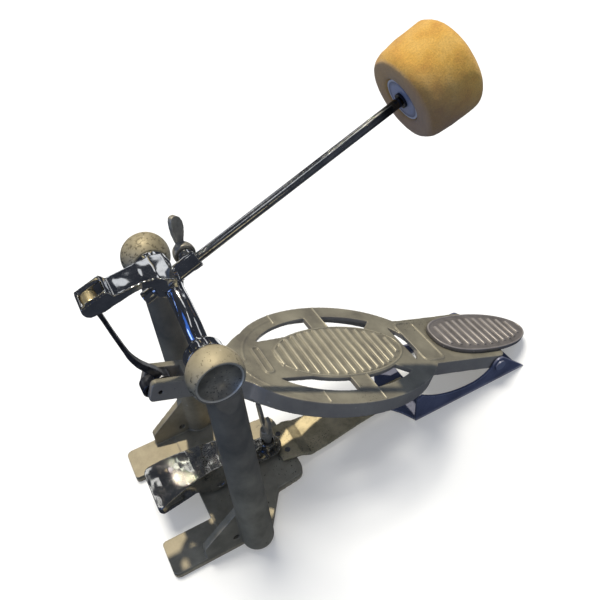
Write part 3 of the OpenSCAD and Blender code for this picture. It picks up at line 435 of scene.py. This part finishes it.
# The same metal rubbed by heels: pale, and smoother than the ground between the ribs.
rubbed_plate = aged_metal("plate_aluminium_rubbed", ("#85807c", "#97928e", "#a5a09b"), "#b8b3ae", "#3f3b39",
                          metallic=0.3, rough=(0.34, 0.48), blotch_mm=14, pit_mm=0.9, pits=0.15,
                          grain_mm=0.7, bump_mm=0.06, edge=0.4, grime_and_shade=0.3)
PLATE_U, PLATE_A, PLATE_B, PLATE_NOSE, PLATE_TOP = 4.5, 56.0, 22.5, 48.8, TREAD + 3.02
HEEL_RIBS, HEEL_FIRST, HEEL_PITCH, HEEL_WIDE, HEEL_HIGH = 11, 37.8, 8.17, 3.3, 1.3
HEEL_MARGIN, HEEL_SHORT = 5.6, 1.5
ribs = []
for i in range(HEEL_RIBS):
    u = PLATE_U + HEEL_FIRST - HEEL_PITCH * i
    span = math.sqrt(1 - ((u - PLATE_U) / (PLATE_A - HEEL_MARGIN)) ** 2)
    half = (PLATE_B - HEEL_MARGIN) * span - HEEL_SHORT
    ribs.append([(u, -half), (u, 0.0), (u, half)])
beads("heel_ribs", ribs, HEEL_WIDE, HEEL_HIGH, PLATE_TOP, rubbed_plate)
RIM_POINTS, RIM_WIDE, RIM_HIGH, RIM_INSET, NOSE_BLUNT = 72, 1.5, 0.7, 0.8, 0.77
rim = []
for k in range(RIM_POINTS + 1):
    t = 2 * math.pi * (k % RIM_POINTS + 0.5) / RIM_POINTS
    c, w = math.cos(t), math.sin(t)
    blunt, reach = (NOSE_BLUNT, PLATE_NOSE) if c > 0 else (1.0, PLATE_A)
    rim.append((PLATE_U + math.copysign((reach - RIM_INSET) * abs(c) ** blunt, c),
                math.copysign((PLATE_B - RIM_INSET) * abs(w) ** blunt, w)))
beads("heel_rim", [rim], RIM_WIDE, RIM_HIGH, PLATE_TOP, rubbed_plate)
dress("heel_plate_screws", zinc_steel)

# The heel bracket is a channel folded from sheet steel, and the board's hinge pin passes through its ears.
# Blue paint, brushed over both: dark and half glossy, rubbed paler on the folds.
painted_sheet = aged_metal("painted_sheet_steel", ("#5a5f73", "#686d83", "#757a8f"), "#9298a8", "#2a2f42",
                           metallic=0.25, rough=(0.3, 0.45), blotch_mm=25, pit_mm=1.4, pits=0.25,
                           grain_mm=0.9, bump_mm=0.04, edge=0.5)
dress("heel_bracket", painted_sheet, 0.45, 3)
dress("hinge_pin", painted_sheet)

# A flat strap of sheet steel ties the bracket to the base; it is riveted to the one and screwed to the other.
# Galvanised sheet that has aged: straw grey and half dull, with clouds and dark specks.
strap_sheet = aged_metal("strap_sheet_galvanised", ("#9c9274", "#bcb08d", "#cfc29d"), "#dcd0ad", "#4a463a",
                         metallic=0.5, rough=(0.38, 0.55), blotch_mm=11, pit_mm=1.2, pits=0.35,
                         grain_mm=0.8, bump_mm=0.06)
dress("connecting_strap", strap_sheet, 0.45, 3)
dress("strap_rivets", zinc_steel)
dress("strap_screws", zinc_steel)

# The hoop clamp is a steel pressing that rocks on a pin over the base, worked by a wing screw in its collar.
# Old chrome plate: bright and wavy like the rocker's, with dark pits where it has let the rust through.
pitted_chrome = aged_metal("chrome_plate_pitted", ("#b4b4b2", "#cbcbc8", "#dadad6"), "#e2e3e4", "#3a3631",
                           metallic=1.0, rough=(0.07, 0.13), blotch_mm=7, pit_mm=0.9, pits=0.7,
                           grain_mm=10, bump_mm=1.7, edge=0.2, grime_and_shade=0.4)
dress("hoop_clamp", pitted_chrome, 0.4, 8)
dress("clamp_collar", pitted_chrome, 0.3, 4)
dress("clamp_pivot_pin", ground_steel)
# Forged screw steel with its plating worn off: grey, half dull and pale on the wing's edges.
wing_steel = aged_metal("wing_screw_steel", ("#76736a", "#918d80", "#a8a392"), "#cfc8b4", "#33322e",
                        metallic=0.35, rough=(0.3, 0.46), blotch_mm=5, pit_mm=0.8, pits=0.35,
                        grain_mm=0.6, bump_mm=0.06)
dress("clamp_wing_screw", wing_steel, 0.35, 5)

# The beater's steel rod is gripped in the rocker's socket by a thumb screw, and two washers and a nut hold
# the felt on its far end.
ROD_TILT = math.radians(22.4)
HUB = Vector((-1.3, 0.0, 192.3))
ALONG = Vector((math.cos(ROD_TILT), 0, math.sin(ROD_TILT)))
FELT_S, ROD_SHADE_FROM, ROD_SHADE_FULL = 158.0, 26.0, 10.0
# Chrome on drawn rod: long straight reflections with small pits, and a painted dark reflection of the felt's
# shaded face next to the felt.
rod_chrome = aged_metal("chrome_plate_rod", ("#b9bdc3", "#cdd0d4", "#d9dbde"), "#e2e3e4", "#3a3b3d",
                        metallic=1.0, rough=(0.08, 0.18), blotch_mm=5, pit_mm=0.8, pits=0.5,
                        grain_mm=30, bump_mm=0.3, edge=0.2, grime_and_shade=0.4)
# Painted reflection: the rod darkens over its last stretch before the felt.
tint(rod_chrome, reading(rod_chrome, "along", ALONG, HUB * MM), (FELT_S - ROD_SHADE_FROM) * MM,
     (FELT_S - ROD_SHADE_FULL) * MM, 0.9, "#1d1a18")
dress("beater_rod", rod_chrome)
# Blued washer steel: slate blue and half dull, with a darker band inside its edge and a painted highlight
# ring at the edge.
washer_steel = aged_metal("washer_steel_blued", ("#46528a", "#5a669c", "#7683b0"), "#c0c8da", "#2c3557",
                          metallic=0.25, rough=(0.4, 0.55), blotch_mm=4, pit_mm=0.9, pits=0.4,
                          grain_mm=0.5, bump_mm=0.04)
WASHER = 12.3
from_axis = reading(washer_steel, "off", ALONG, HUB * MM)
tint(washer_steel, from_axis, (WASHER - 3.5) * MM, (WASHER - 1.6) * MM, 0.6, "#2f3858")
# Painted highlight: a pale ring at the washer's edge.
tint(washer_steel, from_axis, (WASHER - 1.3) * MM, (WASHER - 0.7) * MM, 0.9, "#d3d9e8")
for name in ("beater_washer_lower", "beater_washer_upper", "beater_nut"):
    dress(name, washer_steel)
dress("beater_wing_screw", wing_steel, 0.3, 4)

# The beater head is hard yellow felt, turned to a slightly tapered drum with rounded rims and a recess for
# each washer, and clamped on the rod between them.
FELT_L, FELT_LOW, FELT_TOP = 37.0, 26.4, 27.2
FELT_SHADE_WAY, FELT_SHADE_DEEP = Vector((-0.45, -0.5, -0.74)).normalized(), 22 * MM
FACE_IN, FACE_OUT = -2.2 * MM, -0.2 * MM

# Pressed wool shows a fine nap, soft clouds of colour and small lumps; its lower side carries brown painted
# shade.
# Its fibres, far under a tenth of a millimetre, are drawn as flecks of 0.9 mm so that they show.
FIBRE_MM, CLOUD_MM, NAP = 0.9, 9, 0.4 * MM
wool_felt, tree, shader, place = begin("wool_felt_yellow_pressed")
cloud = add(tree, "ShaderNodeTexNoise", {
    "Vector": place, "Scale": 1 / (CLOUD_MM * MM), "Detail": 5.0}).outputs["Fac"]
tone = add(tree, "ShaderNodeValToRGB", {"Fac": cloud},
           stops=[(0.3, "#dfa546"), (0.5, "#eeb850"), (0.7, "#f5c462")]).outputs["Color"]
fibre = add(tree, "ShaderNodeTexNoise", {
    "Vector": place, "Scale": 1 / (FIBRE_MM * MM), "Detail": 5.0, "Roughness": 0.7}).outputs["Fac"]
fleck = add(tree, "ShaderNodeMapRange", {
    "Value": fibre, "From Min": 0.3, "From Max": 0.7, "To Min": 0.74, "To Max": 1.14}).outputs["Result"]
tree.links.new(add(tree, "ShaderNodeMix", {0: 1.0, 6: tone, 7: fleck}, data_type="RGBA",
                   blend_type="MULTIPLY").outputs[2], shader.inputs["Base Color"])
nap = add(tree, "ShaderNodeBump", {"Height": fibre, "Distance": NAP, "Strength": 0.8})
tree.links.new(nap.outputs["Normal"], shader.inputs["Normal"])
shader.inputs["Roughness"].default_value = 0.95
shader.inputs["Sheen Weight"].default_value = 0.2
shader.inputs["Sheen Roughness"].default_value = 0.5
# Painted shade: the felt browns towards its lower side.
tint(wool_felt, reading(wool_felt, "along", FELT_SHADE_WAY, (HUB + ALONG * (FELT_S + FELT_L / 2)) * MM),
     0.0, FELT_SHADE_DEEP, 0.72, "#7a6152")
tint(wool_felt, reading(wool_felt, "along", -ALONG, (HUB + ALONG * FELT_S) * MM),
     FACE_IN, FACE_OUT, 0.55, "#c9a98c")

# The turned outline, as radius and height over the lower face: bore, recess, lower face, rounded lower rim,
# side with a slight swell, rounded upper rim, upper face and its recess.
BORE, RECESS, SWELL = 3.0, 2.6, 0.35
LOW_ROUND, LOW_RIM, LOW_TURN, TOP_ROUND, TOP_TURN = 10.4, 8.2, 46, 7.0, 88
outline = [(BORE, RECESS), (WASHER - 0.5, RECESS), (WASHER + 0.35, RECESS - 0.3), (WASHER + 0.9, 0.8),
           (WASHER + 1.7, 0.1), (FELT_LOW - 8.5, -0.1), (FELT_LOW - 5.2, 0.05)]
for i in range(11):
    a = math.radians(LOW_TURN * (i / 10 - 1))
    outline.append((FELT_LOW - LOW_ROUND + LOW_ROUND * math.cos(a), LOW_RIM + LOW_ROUND * math.sin(a)))
for i in range(1, 9):
    t = i / 9
    outline.append((FELT_LOW + (FELT_TOP - FELT_LOW) * t + SWELL * math.sin(math.pi * t),
                    LOW_RIM + (FELT_L - LOW_RIM - TOP_ROUND) * t))
for i in range(9):
    a = math.radians(TOP_TURN * i / 8)
    outline.append((FELT_TOP - TOP_ROUND + TOP_ROUND * math.cos(a),
                    FELT_L - TOP_ROUND + TOP_ROUND * math.sin(a)))
outline += [(15.0, FELT_L), (11.0, FELT_L - 0.2), (9.3, FELT_L - 1.2), (9.0, FELT_L - 2.9),
            (BORE, FELT_L - 3.0)]
UP, ACROSS = Vector((-math.sin(ROD_TILT), 0, math.cos(ROD_TILT))), Vector((0, 1, 0))
TURNS, LUMPY_FROM = 128, 16
rings = []
for radius, rise in outline:
    ring = []
    for k in range(TURNS):
        a = 2 * math.pi * k / TURNS
        out = UP * math.cos(a) + ACROSS * math.sin(a)
        at = HUB + ALONG * (FELT_S + rise) + out * radius
        lump = noise.fractal(at * 0.11, 1.0, 2.0, 3) * 0.3 + noise.noise(at * 0.9) * 0.1
        ring.append((at + out * (lump if radius > LUMPY_FROM else 0)) * MM)
    rings.append(ring)
shape = bmesh.new()
skin(shape, rings, closed=True)
felt = piece("beater_head_felt", shape, wool_felt)
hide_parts("beater_felt")
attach(felt, "beater")

# The pedal stands on a sheet of white paper, which keeps its shadow. The eye and the plating see it white;
# as a source of light on the pedal it is a dull blue grey, so that the undersides stay dark.
FLOOR_SIZE = 6


def seen(tree):
    """1 where the floor or the room is looked at or mirrored, and 0 where it only gives light."""
    path = add(tree, "ShaderNodeLightPath").outputs
    eye_or_gloss = add(tree, "ShaderNodeMath", {0: path["Is Camera Ray"], 1: path["Is Glossy Ray"]},
                       operation="MAXIMUM").outputs[0]
    return add(tree, "ShaderNodeMath", {0: eye_or_gloss, 1: path["Is Transmission Ray"]},
               operation="MAXIMUM").outputs[0]


bpy.ops.mesh.primitive_plane_add(size=FLOOR_SIZE, location=(0, 0, 0))
floor = bpy.context.object
floor.name = "studio_floor"
# White paper: matt and even, with a faint glow of its own so that it shows white where nothing shades it.
white_paper = bpy.data.materials.new("floor_paper_white")
white_paper.use_nodes = True
tree = white_paper.node_tree
tree.nodes.clear()
paper = add(tree, "ShaderNodeBsdfDiffuse", {"Color": linear("#e3dfd4")}).outputs[0]
glow = add(tree, "ShaderNodeEmission", {"Color": linear("#fffbf0"), "Strength": 0.25}).outputs[0]
bright = add(tree, "ShaderNodeAddShader", {0: paper, 1: glow}).outputs[0]
dull = add(tree, "ShaderNodeBsdfDiffuse", {"Color": linear("#505965")}).outputs[0]
both = add(tree, "ShaderNodeMixShader", {0: seen(tree), 1: dull, 2: bright}).outputs[0]
add(tree, "ShaderNodeOutputMaterial", {"Surface": both})
floor.data.materials.append(white_paper)

# The room gives a weak bluish fill from all round, as open shade does.
# It is plain white where the eye looks at it or plating mirrors it.
world = bpy.data.worlds.new("studio")
bpy.context.scene.world = world
world.use_nodes = True
tree = world.node_tree
tree.nodes.clear()
fill = add(tree, "ShaderNodeBackground", {"Color": linear("#b6c6ec"), "Strength": 0.56}).outputs[0]
white = add(tree, "ShaderNodeBackground", {"Color": (1, 1, 1, 1), "Strength": 1.0}).outputs[0]
both = add(tree, "ShaderNodeMixShader", {0: seen(tree), 1: fill, 2: white}).outputs[0]
add(tree, "ShaderNodeOutputWorld", {"Surface": both})

# A warm, hard key hangs high behind the table and lights the pedal; a broad white one beside it lights the
# paper alone, so that the shadow there is soft. A cool window on the left and a fill in front are weaker.
KEY_WAY, PAPER_KEY_WAY = (-0.06, -0.25, -0.966), (0.05, -0.34, -0.94)
LIT_PLACE = Vector((0.08, 0, 0.12))


def hang(name, kind, way, colour, strength, **settings):
    """A lamp that shines one way."""
    light = bpy.data.lights.new(name, kind)
    light.color, light.energy = colour, strength
    for key, value in settings.items():
        setattr(light, key, value)
    made = bpy.data.objects.new(name, light)
    made.rotation_euler = Vector(way).to_track_quat("-Z", "Y").to_euler()
    bpy.context.collection.objects.link(made)
    return made


key = hang("key", "SUN", KEY_WAY, (1.0, 0.9, 0.73), 3.0, angle=math.radians(1.4))
paper_key = hang("paper_key", "SUN", PAPER_KEY_WAY, (1.0, 1.0, 1.0), 3.15, angle=math.radians(27))
for lamp, state in ((key, "EXCLUDE"), (paper_key, "INCLUDE")):
    paper_only = bpy.data.collections.new(lamp.name + "_paper")
    paper_only.objects.link(floor)
    lamp.light_linking.receiver_collection = paper_only
    paper_only.collection_objects[0].light_linking.link_state = state
for name, spot, (wide, tall), colour, watts in (
        ("window", (-0.9, -0.2, 0.3), (0.2, 0.5), (0.5, 0.66, 1.0), 0.8),
        ("front_fill", (0.3, -1.2, 0.25), (1.2, 0.5), (0.9, 0.92, 1.0), 1.3)):
    lamp = hang(name, "AREA", LIT_PLACE - Vector(spot), colour, watts,
                shape="RECTANGLE", size=wide, size_y=tall)
    lamp.location = spot

# Dark flags stand round and over the table, out of the picture, as they do when plated parts are pictured.
# Plating sees the white room only through the gaps between them, some tan cards and a blue one on the left.
# Each gap and card is given by its angles round the table, then by its angles above it.
FLAG_REACH, FLAG_STEP, FLAG_FOOT, FLAG_CENTRE, FLOOR_FLAG_IN = 1.1, 5, 0.003, 0.05, 0.01
CLOTH, TAN, BLUE = 0, 1, 2
SHADES = (("flag_cloth_black", "#373a41"), ("flag_card_tan", "#dccba0"), ("flag_card_blue", "#4f82e6"))
GAPS = ((40, 60, -90, 0), (80, 95, -90, 0), (35, 45, 30, 40), (60, 65, 25, 45), (75, 85, 40, 50),
        (50, 60, 50, 55), (90, 100, 30, 40), (65, 75, 60, 70), (45, 50, 65, 75), (105, 110, 45, 60),
        (230, 250, 60, 80), (140, 150, 10, 40), (330, 340, 10, 50), (20, 25, 40, 60), (95, 110, 15, 35))
CARDS = ((TAN, 45, 50, 30, 45), (TAN, 70, 75, 25, 40), (TAN, 85, 90, 55, 60), (TAN, 115, 120, 35, 45),
         (TAN, 255, 275, 5, 20), (BLUE, 180, 210, 0, 50))
shades = []
for name, colour in SHADES:
    made = bpy.data.materials.new(name)
    made.use_nodes = True
    made.node_tree.nodes.clear()
    glow = add(made.node_tree, "ShaderNodeEmission", {"Color": linear(colour), "Strength": 1.0}).outputs[0]
    add(made.node_tree, "ShaderNodeOutputMaterial", {"Surface": glow})
    shades.append(made)


def within(panel, around, height):
    """Whether a cell of the flags lies in a panel."""
    return panel[0] <= around < panel[1] and panel[2] <= height < panel[3]


heights = list(range(0, 90, FLAG_STEP))
rounds = list(range(0, 360, FLAG_STEP))
levels = [(FLOOR_FLAG_IN, FLAG_FOOT)]
levels += [(FLAG_REACH * math.cos(math.radians(h)), FLAG_FOOT + FLAG_REACH * math.sin(math.radians(h)))
           for h in heights]
shape = bmesh.new()
rows = []
for reach, rise in levels:
    rows.append([shape.verts.new((FLAG_CENTRE + reach * math.cos(math.radians(a)),
                                  reach * math.sin(math.radians(a)), rise)) for a in rounds])
for one, two, height in zip(rows, rows[1:], [-FLAG_STEP] + heights):
    for k, around in enumerate(rounds):
        if any(within(gap, around, height) for gap in GAPS):
            continue
        j = (k + 1) % len(rounds)
        cell = shape.faces.new((one[k], one[j], two[j], two[k]))
        cell.material_index = CLOTH
        for card, *panel in CARDS:
            if within(panel, around, height):
                cell.material_index = card
flags = piece("studio_flags", shape, *shades)
flags.visible_camera = flags.visible_diffuse = flags.visible_shadow = flags.visible_transmission = False

# The camera stands where the photograph was taken from, in front of the pedal, to its left and above it.
# Its place, its three directions and its focal length were solved from pieces that are level, flat or alike.
FOCAL_PX, PICTURE_PX, SENSOR = 628.1406, 600, 36.0
RIGHT = Vector((0.8780551, -0.4743313, -0.0634748))
DOWN = Vector((-0.3618452, -0.57124, -0.7367176))
AHEAD = Vector((0.3131889, 0.6698467, -0.6732147))
EYE = Vector((-47.09295, -261.92387, 404.65653))
lens = bpy.data.cameras.new("photo_view")
lens.sensor_width, lens.lens = SENSOR, SENSOR * FOCAL_PX / PICTURE_PX
camera = bpy.data.objects.new("photo_view", lens)
turn = Matrix((RIGHT, -DOWN, -AHEAD)).transposed().to_4x4()
camera.matrix_world = Matrix.Translation(EYE * MM) @ turn
bpy.context.collection.objects.link(camera)
bpy.context.scene.camera = camera
bpy.context.scene.view_settings.view_transform = "Standard"
